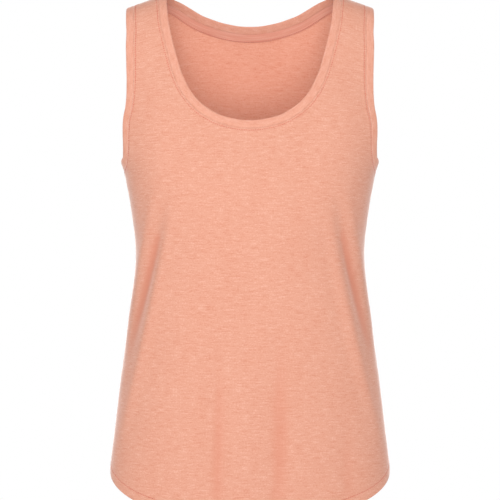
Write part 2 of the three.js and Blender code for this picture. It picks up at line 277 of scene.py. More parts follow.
@dataclass(frozen=True)
class WornForm:
    """The shape that the cloth takes on a wearer, as a surface over turn and fall."""

    neck_half: float = 111
    arm_half: float = 150
    shoulder_fall: float = 14
    chest_drop: float = 260
    crown_front: float = 1.45
    crown_back: float = 1.6
    turn_step: float = 0.2
    fall_step: float = 0.01
    least: float = 1e-6
    # Where painted shade starts in a crease trough, and how much deeper the trough is where the
    # shade is full.
    crease_shade_start: float = 1.2
    crease_shade_depth: float = 2.4
    hem_side: float = 575
    hem_tail: float = 53
    map_columns: int = 25
    map_depth: float = 660
    map_rows: int = 331
    sections: Sequence[Section] = tuple(Section(*row) for row in SECTION_ROWS)
    creases: Sequence[Crease] = tuple(
        Crease(face, *row) for face, rows in CREASE_ROWS.items() for row in rows
    )

    def size(self, column: str, drop: Array) -> Array:
        """A column of the section table at these drops."""
        drops = np.array([row.drop for row in self.sections], float)
        values = np.array([getattr(row, column) for row in self.sections], float)
        return smooth_value(drops, values, drop)

    def shoulder_line(self, across: Array) -> Array:
        """Height of the shoulder line above the origin, this far from the centre."""
        run = self.arm_half**2 - self.neck_half**2
        return -self.shoulder_fall * (across**2 - self.neck_half**2) / run

    def crown(self, drop: Array, power: Array) -> Array:
        """How much of its full depth the form has reached at this drop."""
        above = np.maximum(1 - drop / self.chest_drop, 0)
        return np.sqrt(1 - above**power)

    def points(self, turn: Array, fall: Array, creased: bool = True) -> Array:
        """Places on the outer face of the cloth.

        Args:
            turn: Degrees round the form.
            fall: Signed square root of the drop.
            creased: Whether the creases are in it.

        Returns:
            An array of points in millimetres, with a last axis of three.
        """
        turn, fall = np.broadcast_arrays(np.asarray(turn, float), np.asarray(fall, float))
        back = fall > 0
        face = face_sign(fall)
        drop = fall * fall
        half = self.size("half", drop)
        power = 2 / self.size("square", drop)
        full = np.where(back, self.size("back", drop), self.size("front", drop))
        depth = full * self.crown(drop, np.where(back, self.crown_back, self.crown_front))
        sine = np.abs(np.sin(np.radians(turn)))
        cosine = np.maximum(np.cos(np.radians(turn)), 0)
        across = np.sign(turn) * half * sine**power
        level = np.maximum(1 - drop / self.chest_drop, 0) ** 2
        height = self.shoulder_line(across) * level - drop
        point = np.stack([across, face * depth * cosine**power, height], -1)
        if not creased:
            return point
        lift = self.lift(face, across, drop)
        flank = np.sign(turn) * sine ** (2 - power) / half
        ahead = face * cosine ** (2 - power) / np.maximum(depth, self.least)
        outward = unit(np.stack([flank, ahead, np.zeros_like(flank)], -1) + self.least**2)
        return point + outward * lift[..., None]

    def lift(self, face: Array, across: Array, drop: Array) -> Array:
        """How far all the creases together push the cloth out."""
        return sum(crease.lift(face, across, drop) for crease in self.creases)

    def folded(self, turn: Array, fall: Array) -> Array:
        """How deep in a trough each place lies, from 0 to 1, for the shade painted into the
        creases.
        """
        base = self.points(turn, fall, creased=False)
        lift = self.lift(face_sign(fall), base[..., 0], fall * fall)
        return np.clip((-lift - self.crease_shade_start) / self.crease_shade_depth, 0, 1)

    def steps(self, turn: Array, fall: Array) -> Pair:
        """The two directions of the coordinates, in millimetres for each step of each."""
        inner = np.clip(turn - self.turn_step, -90, 90)
        outer = np.clip(turn + self.turn_step, -90, 90)
        round_form = self.points(outer, fall) - self.points(inner, fall)
        over = self.points(turn, fall + self.fall_step) - self.points(turn, fall - self.fall_step)
        return round_form / (outer - inner)[..., None], over / (2 * self.fall_step)

    def normals(self, turn: Array, fall: Array) -> Array:
        """Outward normals of the form."""
        round_form, over = self.steps(turn, fall)
        return unit(np.cross(round_form, over))

    def raised(self, turn: Array, fall: Array, height: Array) -> Array:
        """Places on the form, moved out by a height."""
        return self.points(turn, fall) + self.normals(turn, fall) * height[..., None]

    def hem_drop(self, turn: Array) -> Array:
        """Drop of the hem's edge, lowest at the centre and round at the side seams."""
        return self.hem_side + self.hem_tail * np.cos(np.radians(turn))

    def cloth_map(self, turn: Array, fall: Array) -> Array:
        """Distances over the cloth, in metres.

        Args:
            turn: Degrees round the form.
            fall: Signed square root of the drop.

        Returns:
            The distance across from the centre line and the distance down the centre of that
            face, with a last axis of two.
        """
        parts = np.linspace(0, 1, self.map_columns)
        ring = self.points(turn[..., None] * parts, fall[..., None], creased=False)
        across = np.linalg.norm(np.diff(ring, axis=-2)[..., :2], axis=-1).sum(-1)
        drops = np.linspace(0, self.map_depth, self.map_rows)
        down = np.zeros_like(turn)
        for face in Face:
            centre = self.points(np.zeros_like(drops), face.value * np.sqrt(drops), creased=False)
            lengths = np.interp(fall * fall, drops, lengths_along(centre))
            down = np.where(face_sign(fall) == face.value, lengths, down)
        return np.stack([np.sign(turn) * across, down], -1) * MM


# ---- Seam lines ----


@dataclass
class Seam:
    """A sewn line on the form, from the front over the shoulder to the back."""

    form: WornForm
    rows: Sequence[tuple[float, float]]
    column: Column
    inward: int
    half_step: float = 1
    shoulder_reach: float = 22
    length: float = field(init=False)
    shoulder: float = field(init=False)
    knots: Array = field(init=False)
    sideways: Array = field(init=False)
    falls: Array = field(init=False)

    def __post_init__(self) -> None:
        """Works out the lengths between the rows, and runs the seam on beyond both ends."""
        table = np.array(self.rows, float)
        sideways = table[:, 0]
        falls = np.sign(table[:, 1]) * np.sqrt(np.abs(table[:, 1]))
        lengths = lengths_along(self.form.points(self._turn(sideways, falls), falls, False))
        self.length = float(lengths[-1])
        self.shoulder = float(lengths[np.flatnonzero(falls == 0)[0]])
        self.knots = self._run_on(lengths, True)
        self.sideways = self._run_on(sideways, True)
        self.falls = self._run_on(falls, False)

    @staticmethod
    def _run_on(values: Array, through: bool) -> Array:
        """The values with one more before the first and after the last.

        Args:
            values: The values at the rows.
            through: Whether they carry straight on at the ends, and don't come back.

        Returns:
            The longer row of values.
        """
        if through:
            before, after = 2 * values[0] - values[1], 2 * values[-1] - values[-2]
        else:
            before, after = values[1], values[-2]
        return np.concatenate([[before], values, [after]])

    def _turn(self, sideways: Array, fall: Array) -> Array:
        """The turn that belongs to the table's own column."""
        if self.column is Column.TURN:
            return sideways
        drop = fall * fall
        part = np.abs(sideways) / self.form.size("half", drop)
        sine = np.minimum(part ** (self.form.size("square", drop) / 2), 1)
        return np.sign(sideways) * np.degrees(np.arcsin(sine))

    def places(self, at: Array) -> Pair:
        """Turn and fall at these lengths along the seam, mirrored beyond its ends."""
        at = np.asarray(at, float)
        beyond = (at < 0) | (at > self.length)
        near = np.where(at < 0, -at, np.where(at > self.length, 2 * self.length - at, at))
        fall = smooth_value(self.knots, self.falls, near)
        turn = self._turn(smooth_value(self.knots, self.sideways, near), fall)
        if self.column is Column.TURN:
            return turn, np.where(beyond, -fall, fall)
        return np.where(beyond, -turn, turn), fall

    def frames(self, at: Array) -> tuple[Array, Array, Array]:
        """The seam's own directions.

        Args:
            at: Lengths along the seam.

        Returns:
            Points of the seam, outward normals, and directions over the form into the cloth.
        """
        at = np.asarray(at, float)
        turn, fall = self.places(at)
        behind = self.form.points(*self.places(at - self.half_step))
        ahead = self.form.points(*self.places(at + self.half_step))
        normal = self.form.normals(turn, fall)
        inward = unit(np.cross(ahead - behind, normal)) * self.inward
        return self.form.points(turn, fall), normal, inward

    def inside(self, at: Array, distance: Array) -> Pair:
        """Places on the form beside the seam.

        Args:
            at: Lengths along the seam.
            distance: Distances from it into the cloth, negative on its other side.

        Returns:
            Turn and fall of each place. Near the shoulder the way in runs beside the shoulder
            seam, so that no place crosses it.
        """
        at, distance = np.broadcast_arrays(np.asarray(at, float), distance)
        turn, fall = self.places(at)
        _, _, inward = self.frames(at)
        round_form, over = self.form.steps(turn, fall)
        mixed = dot(round_form, over)
        wide, tall = dot(round_form, round_form), dot(over, over)
        spread = wide * tall - mixed * mixed
        on_round = (dot(round_form, inward) * tall - dot(over, inward) * mixed) / spread
        on_over = (dot(over, inward) * wide - dot(round_form, inward) * mixed) / spread
        near = ease(np.abs(at - self.shoulder) / self.shoulder_reach)
        return turn + distance * on_round, fall + distance * on_over * near


# The neck, as distance from the centre line and drop, and the armhole, as turn and drop. A
# drop is negative in front.
NECK_ROWS = [
    (0, -166.7), (37, -160.2), (63.3, -144.6), (79.5, -125.2), (90.4, -103), (97.1, -82),
    (103.8, -55), (108.6, -29), (111, 0), (102, 7.5), (89.5, 16.5), (72, 29.5),
    (56.5, 38.3), (31, 47.5), (0, 51.5),
]

ARMHOLE_ROWS = [
    (90, -212), (80, -209.8), (70.4, -204.2), (63.6, -192.4), (59.9, -181), (57.8, -169.3),
    (54.8, -152), (50.8, -134), (47.4, -101.5), (43.7, -56), (41.5, -32), (39.8, 0),
    (41.5, 45), (45.5, 95), (50.5, 135), (58.5, 172), (67, 195), (78, 208.5), (90, 212),
]


# ---- Mesh making ----

# Moves in edit mode, for work() below.
ALL = partial(bpy.ops.mesh.select_all, action="SELECT")
MERGE = partial(bpy.ops.mesh.remove_doubles, threshold=0.02 * MM)
FACE_OUT = partial(bpy.ops.mesh.normals_make_consistent, inside=False)


def only(*pieces: Piece) -> None:
    """Selects these objects and nothing else, the first of them active."""
    bpy.ops.object.select_all(action="DESELECT")
    for piece in pieces:
        piece.select_set(True)
    bpy.context.view_layer.objects.active = pieces[0]


def work(piece: Piece, *moves: Callable[[], Any]) -> None:
    """Runs edit mode operators on the whole of one object.

    Args:
        piece: The object.
        moves: The operators, in order, with their settings.
    """
    only(piece)
    bpy.ops.object.mode_set(mode="EDIT")
    for move in (ALL, *moves):
        move()
    bpy.ops.object.mode_set(mode="OBJECT")


def lay_map(mesh: bpy.types.Mesh, places: Array) -> None:
    """Writes a cloth map of one place for each vertex."""
    layer = mesh.uv_layers.active or mesh.uv_layers.new(name="cloth")
    layer.name = "cloth"
    corners = np.empty(len(mesh.loops), np.int32)
    mesh.loops.foreach_get("vertex_index", corners)
    layer.uv.foreach_set("vector", places.reshape(-1, 2)[corners].astype(np.float32).ravel())


def grid_piece(points: Array, places: Array, folded: Array | None = None) -> Piece:
    """A grid laid on an array of points.

    Args:
        points: Rows and columns of points in millimetres.
        places: The cloth map at each of them.
        folded: How deep in a trough each of them lies, for the shade that the jersey finish paints
            there; given where the finish asks for it.

    Returns:
        The new object.
    """
    rows, columns = points.shape[:2]
    bpy.ops.object.select_all(action="DESELECT")
    bpy.ops.mesh.primitive_grid_add(x_subdivisions=columns - 1, y_subdivisions=rows - 1, size=1)
    piece = bpy.context.object
    piece.data.vertices.foreach_set("co", (points * MM).ravel())
    lay_map(piece.data, places)
    # The trough depths, which the jersey finish turns into painted shade.
    if folded is not None:
        layer = piece.data.attributes.new("folded", "FLOAT", "POINT")
        layer.data.foreach_set("value", folded.astype(np.float32).ravel())
    piece.data.update()
    return piece


def ring_piece(name: str, points: Array, lengths: Array) -> Piece:
    """A closed ring laid on sections of points.

    Args:
        name: The object's name.
        points: Sections round the ring, each a closed row of points, in millimetres.
        lengths: Distance along the ring of each section and of the first one again.

    Returns:
        The new object, smooth, with a map of distance along and around it.
    """
    closed = np.concatenate([points, points[:1]])
    closed = np.concatenate([closed, closed[:, :1]], axis=1)
    girth = lengths_along(closed[0])
    places = np.stack(np.broadcast_arrays(lengths[:, None], girth[None, :]), -1) * MM
    piece = grid_piece(closed, places)
    piece.name = piece.data.name = name
    work(piece, MERGE, FACE_OUT)
    bpy.ops.object.shade_smooth()
    return piece


def sew(name: str, pieces: Sequence[Piece], outward: Vector) -> Piece:
    """Joins grids that share their edges into one sheet.

    Args:
        name: The sheet's name.
        pieces: The grids.
        outward: A direction that most of the sheet's faces should look in.

    Returns:
        The joined object.
    """
    only(*pieces)
    if len(pieces) > 1:
        bpy.ops.object.join()
    piece = pieces[0]
    piece.name = piece.data.name = name
    work(piece, MERGE, FACE_OUT)
    facing = sum((face.normal * face.area for face in piece.data.polygons), Vector())
    if facing.dot(outward) < 0:
        work(piece, bpy.ops.mesh.flip_normals)
    bpy.ops.object.shade_smooth()
    return piece


def thicken(piece: Piece, wall: float, reverse: bool = False) -> None:
    """Gives a sheet its wall, on the side away from its faces.

    Args:
        piece: The sheet.
        wall: The wall in millimetres.
        reverse: Whether the inner side wears the second of its finishes.
    """
    only(piece)
    solid = piece.modifiers.new("wall", "SOLIDIFY")
    solid.thickness = wall * MM
    solid.offset = -1
    solid.use_rim = True
    solid.use_quality_normals = True
    solid.material_offset = int(reverse)
    bpy.ops.object.modifier_apply(modifier=solid.name)


# ---- Panels ----

# Height of a panel beside its bound edge, against distance from the seam.
SEAM_ROLL = [
    (-0.12, -0.2), (0.35, -0.06), (0.75, 0.02), (1.2, 0.08), (1.8, 0.02), (2.4, -0.16),
    (3, 0), (3.6, 0.14), (4.8, 0.2), (6, 0.1), (7.4, 0),
]

# Height of a panel beside its side and shoulder seams, against distance from the seam.
JOIN_ROLL = [
    (0, -0.7), (0.4, -0.5), (0.9, -0.24), (1.6, -0.06), (2.6, 0.04), (4.5, 0),
]

# Rows below the shoulder seams, as distances from them, and columns beside the side seams, as
# degrees from them. The rest are spread evenly.
SHOULDER_GAPS = (0, 0.5, 1.1, 1.9, 3, 4.5, 6.5)
SIDE_GAPS = (5.4, 4.1, 3.0, 2.2, 1.5, 0.95, 0.55, 0.28, 0.12, 0)

# Rows of the strip beside a bound edge, as distances from its seam.
STRIP_REACHES = (0.35, 0.75, 1.2, 1.8, 2.4, 3.0, 3.6, 4.2, 5.0, 6, 7.4, 9, 10.6)

# Rows of the hem, as heights over its edge: down the turned-up layer and up the outer one.
HEM_INNER_RISES = (13.2, 12.7, 12.1, 11.5, 10, 7.5, 5, 3)
HEM_OUTER_RISES = (2, 3.5, 6, 8.5, 10.3, 11.2, 11.7, 12.1, 12.5, 13, 14, 16)
HEM_STITCH = 12.1


@dataclass
class Panel:
    """The front or the back: one sheet from the hem to the shoulder seams."""

    name: str
    face: Face
    form: WornForm
    neck: Seam
    armhole: Seam
    finishes: Sequence[Material]
    wall: float = 1.0
    fold_radius: float = 1.15
    fold_parts: int = 9
    strip: float = 12
    overlap: float = 0.12
    sag: float = 2.0
    upper_rows: int = 100
    lower_rows: int = 125
    columns: int = 58
    seam_pucker: Swell = Swell(0.34, 4.2, 3.4)
    join_pucker: float = 0.18
    join_centre: float = 3
    join_spread: float = 4
    hem_pucker: Swell = Swell(0.2, 11, 5)
    hem_groove: Swell = Swell(-0.3, HEM_STITCH, 0.8)
    hem_swell: Swell = Swell(0.25, 6, 4.5)
    seam_wave: float = 9.5
    slow_wave: float = 23
    join_wave: float = 11
    hem_wave: float = 12
    side_turn: float = 80

    def build(self) -> Piece:
        """Both halves, joined on the centre line, with their wall."""
        grids = [grid for side in Side for grid in self._half(side)]
        piece = sew(self.name, grids, Vector((0, self.face.value, 0)))
        for finish in self.finishes:
            piece.data.materials.append(finish)
        thicken(piece, self.wall, reverse=True)
        return piece

    def _up_seam(self, seam: Seam) -> Array:
        """Lengths along a seam, from its end on this face up to the shoulder."""
        start = 0 if self.face is Face.FRONT else seam.length
        reach = abs(seam.shoulder - start)
        near = np.array(SHOULDER_GAPS)
        far = np.linspace(near[-1], reach, self.upper_rows - len(near) + 2)[1:]
        gaps = np.concatenate([near, far])[::-1]
        return np.where(gaps == 0, seam.shoulder, seam.shoulder + self.face.value * gaps)

    def _column_parts(self) -> Array:
        """How far out each column lies from 0 to 1, closest beside the side seam."""
        beside = 1 - np.array(SIDE_GAPS) / 90
        inner = np.linspace(0, beside[0], self.columns - len(beside) + 2)[:-1]
        return np.concatenate([inner, beside])

    def _half(self, side: Side) -> list[Piece]:
        """The grids of one half: body, neck strip and armhole strip."""
        neck_at, arm_at = self._up_seam(self.neck), self._up_seam(self.armhole)
        neck_inner = np.stack(self.neck.inside(neck_at, self.strip), -1)
        arm_inner = np.stack(self.armhole.inside(arm_at, self.strip), -1)
        neck_inner[0, 0] = 0
        arm_inner[0, 0] = 90
        parts = self._column_parts()
        done = (neck_at - neck_at[0]) / (self.neck.shoulder - neck_at[0])
        sag = self.face.value * self.sag * (1 - done) ** 3
        turn = blend(neck_inner[:, :1], arm_inner[:, :1], parts)
        fall = blend(neck_inner[:, 1:], arm_inner[:, 1:], 1 - (1 - parts) ** 2)
        fall = fall + sag[:, None] * np.sin(np.pi * parts)
        # The strips are made before the body, because grids are joined in the order they are made.
        strips = [
            self._strip(side, self.neck, neck_at, 0),
            self._strip(side, self.armhole, arm_at, 90),
        ]
        return [self._body(side, turn, fall), *strips]

    def _body(self, side: Side, turn: Array, fall: Array) -> Piece:
        """The grid from the turned-up end of the hem to the shoulder seam.

        Args:
            side: Which half it is.
            turn: Turn of each place of the upper rows.
            fall: Fall of each of them.

        Returns:
            The new object.
        """
        radius = self.fold_radius
        inner = np.array([*HEM_INNER_RISES, radius])
        outer = np.array([radius, *HEM_OUTER_RISES])
        bends = np.linspace(math.pi, 0, self.fold_parts)[1:-1]
        curve = radius * (1 - np.sin(bends))
        sunk = radius * (1 - np.cos(bends))
        drops = self.form.hem_drop(turn[0]) - np.concatenate([inner, curve, outer])[:, None]
        parts = np.linspace(0, 1, self.lower_rows + 2)[1:-1]
        drops = np.concatenate([drops, blend(drops[-1], fall[0] ** 2, parts[:, None])])
        turns = np.concatenate([np.tile(turn[0], (len(drops), 1)), turn])
        falls = np.concatenate([self.face.value * np.sqrt(drops), fall])
        flat = np.zeros(len(turns) - len(inner) - len(bends))
        depths = np.concatenate([np.full(len(inner), 2 * radius), sunk, flat])
        over_map = np.concatenate([2 * radius + 2 * inner, 2 * curve + sunk, flat])
        rise = self.form.hem_drop(turns) - falls**2
        turns = turns * side.value
        relief = self._join_relief(turns, falls) + self._hem_relief(turns, rise)
        points = self.form.raised(turns, falls, relief - depths[:, None])
        places = self.form.cloth_map(turns, falls)
        places[..., 1] += over_map[:, None] * MM
        return grid_piece(points, places, self.form.folded(turns, falls))

    def _strip(self, side: Side, seam: Seam, at: Array, end_turn: float) -> Piece:
        """The fine strip beside a bound edge, with its seam groove and its stitched groove.

        Args:
            side: Which half it is.
            seam: The seam that it lies along.
            at: Lengths along the seam.
            end_turn: Turn of the line on which the strip starts.

        Returns:
            The new object.
        """
        distance = np.array([-self.overlap, *STRIP_REACHES, self.strip])
        turn, fall = seam.inside(at[:, None], distance[None, :])
        turn[0] = end_turn
        turn = turn * side.value
        relief = table_value(SEAM_ROLL, distance)[None, :]
        start = 0 if self.face is Face.FRONT else seam.length
        along = side.value * (at - start)
        pucker = 0.6 * ripple(along, self.seam_wave, 0.7 * self.face.value + end_turn)
        pucker = pucker + 0.4 * ripple(along, self.slow_wave, 1.9 + self.face.value)
        relief = relief + self.seam_pucker.at(distance, pucker[:, None])
        relief = relief * ease((self.strip - distance) / 2)
        points = self.form.raised(turn, fall, relief + self._join_relief(turn, fall))
        places = self.form.cloth_map(turn, fall)
        return grid_piece(points, places, self.form.folded(turn, fall))

    def _join_relief(self, turn: Array, fall: Array) -> Array:
        """How the cloth rolls in at the side and shoulder seams."""
        base = self.form.points(turn, fall, creased=False)
        away = np.abs(base[..., 1])
        along = np.where(np.abs(turn) > self.side_turn, base[..., 2], base[..., 0])
        near = hump(away - self.join_centre, self.join_spread)
        pucker = ripple(along, self.join_wave, 0.4 + np.sign(turn)) * near
        return table_value(JOIN_ROLL, away) + self.join_pucker * pucker

    def _hem_relief(self, turn: Array, rise: Array) -> Array:
        """The groove of the hem's stitches and the slight swell of the doubled cloth."""
        pucker = self.hem_pucker.at(rise, ripple(3 * turn, self.hem_wave, 0.9))
        return self.hem_groove.at(rise) + self.hem_swell.at(rise) + pucker


# ---- Bands and tape ----

# A band's closed profile, from its seam over the outer face and back inside.
BAND_PROFILE = [
    (0.15, -0.34), (0.28, -0.06), (0.9, 0.1), (1.8, 0.22), (3.2, 0.33), (5, 0.38),
    (7, 0.38), (8.6, 0.28), (9.5, 0.02), (9.95, -0.34), (10.05, -0.7), (9.9, -1.05),
    (9.4, -1.38), (8.4, -1.56), (6.5, -1.62), (4, -1.62), (1.8, -1.6), (0.9, -1.56),
    (0.4, -1.44), (0.18, -1.1),
]

# Depth of the tape's inner face below the panel's outer one, against distance from the seam.
TAPE_PROFILE = [
    (-0.45, 2.02), (-0.2, 2.06), (1.5, 2.16), (3.6, 2.32), (5.2, 2.36), (7.2, 2.32),
    (8.7, 2.14), (9.2, 2.2), (9.6, 2.02),
]


@dataclass
class Band:
    """A doubled strip of the jersey that binds the neck or an armhole."""

    name: str
    seam: Seam
    shift: float
    step: float = 2.0
    waver: float = 0.14
    waver_wave: float = 31
    waver_from: float = 2
    waver_over: float = 6
    pucker: float = 0.09
    pucker_wave: float = 8.7
    pucker_from: float = -0.6
    pucker_over: float = 1.2

    def stations(self) -> Array:
        """Lengths along half the neck, or all round an armhole."""
        count = round(self.seam.length / self.step)
        return np.linspace(0, self.seam.length, count + 1)

    def sections(self, at: Array) -> Array:
        """The band's profile at each station on the wearer's left.

        Args:
            at: Lengths along the seam.

        Returns:
            Points in millimetres, a closed row for each station.
        """
        point, normal, inward = self.seam.frames(at)
        profile = np.array(BAND_PROFILE)
        reach, height = profile[:, 0], profile[:, 1]
        free = ease((reach - self.waver_from) / self.waver_over)
        outer = ease((height - self.pucker_from) / self.pucker_over)
        waver = self.waver * ripple(at, self.waver_wave, self.shift)
        pucker = self.pucker * ripple(at, self.pucker_wave, self.shift)
        reach = (reach + waver[:, None] * free)[..., None]
        height = (height + pucker[:, None] * outer)[..., None]
        return point[:, None] - inward[:, None] * reach + normal[:, None] * height

    def neck_ring(self) -> Piece:
        """The neck band: the left half and its mirror image."""
        at = self.stations()
        left = self.sections(at)
        right = (left * np.array([-1.0, 1, 1]))[1:-1][::-1]
        total = 2 * self.seam.length
        lengths = np.concatenate([at, total - at[1:-1][::-1], [total]])
        return ring_piece(self.name, np.concatenate([left, right]), lengths)

    def arm_ring(self, side: Side) -> Piece:
        """The band of one armhole."""
        at = self.stations()
        ring = self.sections(at)[:-1] * np.array([side.value, 1.0, 1])
        return ring_piece(self.name, ring, at)


@dataclass
class BackNeckTape:
    """The narrow strip inside the back neck, over the seam, from shoulder to shoulder."""

    name: str
    seam: Seam
    form: WornForm
    wall: float = 0.45
    first: float = -0.45
    width: float = 10.05
    step: float = 2.2
    clear: float = 1.5
    pucker: float = 0.05
    pucker_wave: float = 7

    def build(self) -> Piece:
        """The tape, as one curved strip with its wall."""
        reach = self.seam.length - self.seam.shoulder
        count = round(reach / self.step)
        half = np.linspace(self.seam.shoulder + self.clear, self.seam.length, count + 1)
        parts = np.concatenate([[0, 0.02], np.linspace(0.06, 0.94, 17), [0.98, 1]])
        distance = self.first + self.width * parts
        turn, fall = self.seam.inside(half[:, None], distance[None, :])
        turn[-1] = 0
        turn = np.concatenate([turn, -turn[-2::-1]])
        fall = np.concatenate([fall, fall[-2::-1]])
        at = np.concatenate([half, 2 * self.seam.length - half[-2::-1]])
        pucker = self.pucker * ripple(at, self.pucker_wave, 2.0)[:, None]
        sunk = table_value(TAPE_PROFILE, distance) + pucker * ease(parts / 0.3)
        point = self.form.raised(turn, fall, -sunk)
        places = np.stack(np.broadcast_arrays(at[:, None], distance[None, :]), -1) * MM
        piece = sew(self.name, [grid_piece(point, places)], Vector((0, -1, 0)))
        thicken(piece, self.wall)
        return piece


# ---- Stitches ----


@dataclass
class StitchLine:
    """A line of machine stitches, one modelled stitch copied along it."""

    name: str
    pitch: float = 2.7
    long: float = 2.1
    wide: float = 0.85
    high: float = 0.5
    sunk: float = 0.45
    sway: float = 0.12
    reach: float = 0.6
    sway_waves: tuple[float, float] = (1.7, 0.61)

    def model(self) -> Pair:
        """One stitch, along X and lying on Z.

        Returns:
            Its points in millimetres and its faces, padded with -1 where they are triangles.
        """
        bpy.ops.object.select_all(action="DESELECT")
        bpy.ops.mesh.primitive_uv_sphere_add(
            segments=6, ring_count=5, radius=0.5, rotation=(0, math.pi / 2, 0)
        )
        piece = bpy.context.object
        bpy.ops.object.transform_apply(location=False, rotation=True, scale=False)
        work(piece, partial(bpy.ops.transform.resize, value=(self.long, self.wide, self.high)))
        points = np.array([vertex.co for vertex in piece.data.vertices])
        points[:, 2] -= self.sunk * self.high * (np.abs(points[:, 0]) / (0.5 * self.long)) ** 3
        faces = [tuple(face.vertices) for face in piece.data.polygons]
        faces = [face if len(face) == 4 else (*face, -1) for face in faces]
        mesh = piece.data
        bpy.data.objects.remove(piece)
        bpy.data.meshes.remove(mesh)
        return points, np.array(faces)

    def build(self, runs: Sequence[Pair]) -> Piece:
        """Copies the stitch along each run.

        Args:
            runs: For each run, the points of a fine line in millimetres and the normals there.

        Returns:
            The joined stitches.
        """
        model, faces = self.model()
        corners, cells = [], []
        count = 0
        for line, normals in runs:
            lengths = lengths_along(line)
            number = max(int(lengths[-1] / self.pitch), 1)
            middles = (np.arange(number) + 0.5) * lengths[-1] / number
            fast, slow = self.sway_waves
            sway = self.sway * np.sin(middles * fast) * np.cos(middles * slow)
            after = self._read(lengths, line, middles + self.reach)
            along = unit(after - self._read(lengths, line, middles - self.reach))
            beside = unit(np.cross(self._read(lengths, normals, middles), along))
            axes = np.stack([along, beside, np.cross(along, beside)], axis=1)
            centre = self._read(lengths, line, middles) + beside * sway[:, None]
            copies = centre[:, None] + model @ axes
            starts = count + np.arange(number) * len(model)
            cell = np.where(faces[None] < 0, -1, faces[None] + starts[:, None, None])
            corners.append(copies.reshape(-1, 3))
            cells.extend(tuple(i for i in face if i >= 0) for face in cell.reshape(-1, 4))
            count += number * len(model)
        mesh = bpy.data.meshes.new(self.name)
        mesh.from_pydata((np.concatenate(corners) * MM).tolist(), [], cells)
        piece = bpy.data.objects.new(self.name, mesh)
        bpy.context.scene.collection.objects.link(piece)
        work(piece, FACE_OUT)
        bpy.ops.object.shade_smooth()
        return piece

    @staticmethod
    def _read(lengths: Array, values: Array, at: Array) -> Array:
        """Vectors along a fine line, read at these lengths."""
        return np.stack([np.interp(at, lengths, values[:, axis]) for axis in range(3)], -1)


# ---- Finishes ----


@dataclass(frozen=True)
class Wire:
    """A value in a shader. Arithmetic on it adds Math nodes."""

    finish: "Shader"
    socket: bpy.types.NodeSocket

    def _math(self, operation: str, one: Any, other: Any) -> "Wire":
        """A Math node on two values."""
        settings = {"operation": operation}
        return self.finish.node("ShaderNodeMath", settings, {0: one, 1: other})

    def __add__(self, other: Any) -> "Wire":
        """This and the other."""
        return self._math("ADD", self, other)

    __radd__ = __add__

    def __sub__(self, other: Any) -> "Wire":
        """This less the other."""
        return self._math("SUBTRACT", self, other)

    def __rsub__(self, other: Any) -> "Wire":
        """The other less this."""
        return self._math("SUBTRACT", other, self)

    def __mul__(self, other: Any) -> "Wire":
        """This times the other."""
        return self._math("MULTIPLY", self, other)

    __rmul__ = __mul__


class Shader:
    """A material's node tree, with one Principled shader."""

    def __init__(self, name: str) -> None:
        """Makes the material and keeps its shader."""
        self.material = bpy.data.materials.new(name)
        self.material.use_nodes = True
        self.tree = self.material.node_tree
        self.surface = self.tree.nodes["Principled BSDF"]

    def node(
        self, kind: str, settings: dict[str, Any], values: dict[Any, Any], output: Any = 0
    ) -> Wire:
        """Adds a node.

        Args:
            kind: The node's type.
            settings: Its own settings, which are set first; stops are a ramp's stops.
            values: A value or a wire for each socket, by name or place.
            output: The output that is used, by name or place.

        Returns:
            That output.
        """
        made = self.tree.nodes.new(kind)
        for name, value in settings.items():
            if name == "stops":
                self._ramp(made.color_ramp, value)
            else:
                setattr(made, name, value)
        for name, value in values.items():
            self.feed(made.inputs[name], value)
        return Wire(self, made.outputs[output])

    def _ramp(self, ramp: bpy.types.ColorRamp, stops: Sequence[tuple[float, float]]) -> None:
        """Sets a grey ramp's stops."""
        while len(ramp.elements) < len(stops):
            ramp.elements.new(1)
        for element, (place, grey) in zip(ramp.elements, stops):
            element.position = place
            element.color = (grey, grey, grey, 1)

    def feed(self, socket: bpy.types.NodeSocket, value: Any) -> None:
        """Gives a socket a value or a wire."""
        if isinstance(value, Wire):
            self.tree.links.new(value.socket, socket)
        else:
            socket.default_value = value

    def cloth(self, scale: tuple[float, float, float]) -> Wire:
        """The piece's cloth map, scaled."""
        places = self.node("ShaderNodeUVMap", {"uv_map": "cloth"}, {})
        return self.node("ShaderNodeMapping", {}, {"Vector": places, "Scale": scale})

    def noise(self, wide: float, high: float, detail: float = 1.0, wavy: float = 0.0) -> Wire:
        """Noise over the cloth from 0 to 1.

        Args:
            wide: Size of its patches across the cloth, in metres.
            high: Their size down the cloth.
            detail: How much finer noise is mixed in.
            wavy: How far the patches are bent.

        Returns:
            The noise.
        """
        places = self.cloth((1 / wide, 1 / high, 1))
        values = {"Vector": places, "Scale": 1.0, "Detail": detail, "Distortion": wavy}
        return self.node("ShaderNodeTexNoise", {"noise_dimensions": "2D"}, values)

    def mix(self, factor: Any, one: Any, other: Any) -> Wire:
        """A colour between two others."""
        settings = {"data_type": "RGBA", "blend_type": "MIX"}
        return self.node("ShaderNodeMix", settings, {0: factor, 6: one, 7: other}, 2)

    def step(self, value: Wire, low: float, high: float) -> Wire:
        """0 below low and 1 above high, smooth between."""
        settings = {"interpolation_type": "SMOOTHSTEP"}
        values = {"Value": value, "From Min": low, "From Max": high}
        return self.node("ShaderNodeMapRange", settings, values)

    def set(self, name: str, value: Any) -> None:
        """Sets or links one of the surface's sockets."""
        self.feed(self.surface.inputs[name], value)

    def dress(self, colour: Any, rough: float, shine: float) -> None:
        """Sets the surface's colour, roughness and shine."""
        self.set("Base Color", colour)
        self.set("Roughness", rough)
        self.set("Specular IOR Level", shine)

    def bump(self, height: Wire, distance: float, strength: float = 1.0) -> None:
        """Raises the surface by this height."""
        values = {"Height": height, "Distance": distance, "Strength": strength}
        self.set("Normal", self.node("ShaderNodeBump", {}, values))


def tone(red: float, green: float, blue: float) -> Colour:
    """A colour for a shader's socket."""
    return (red, green, blue, 1.0)


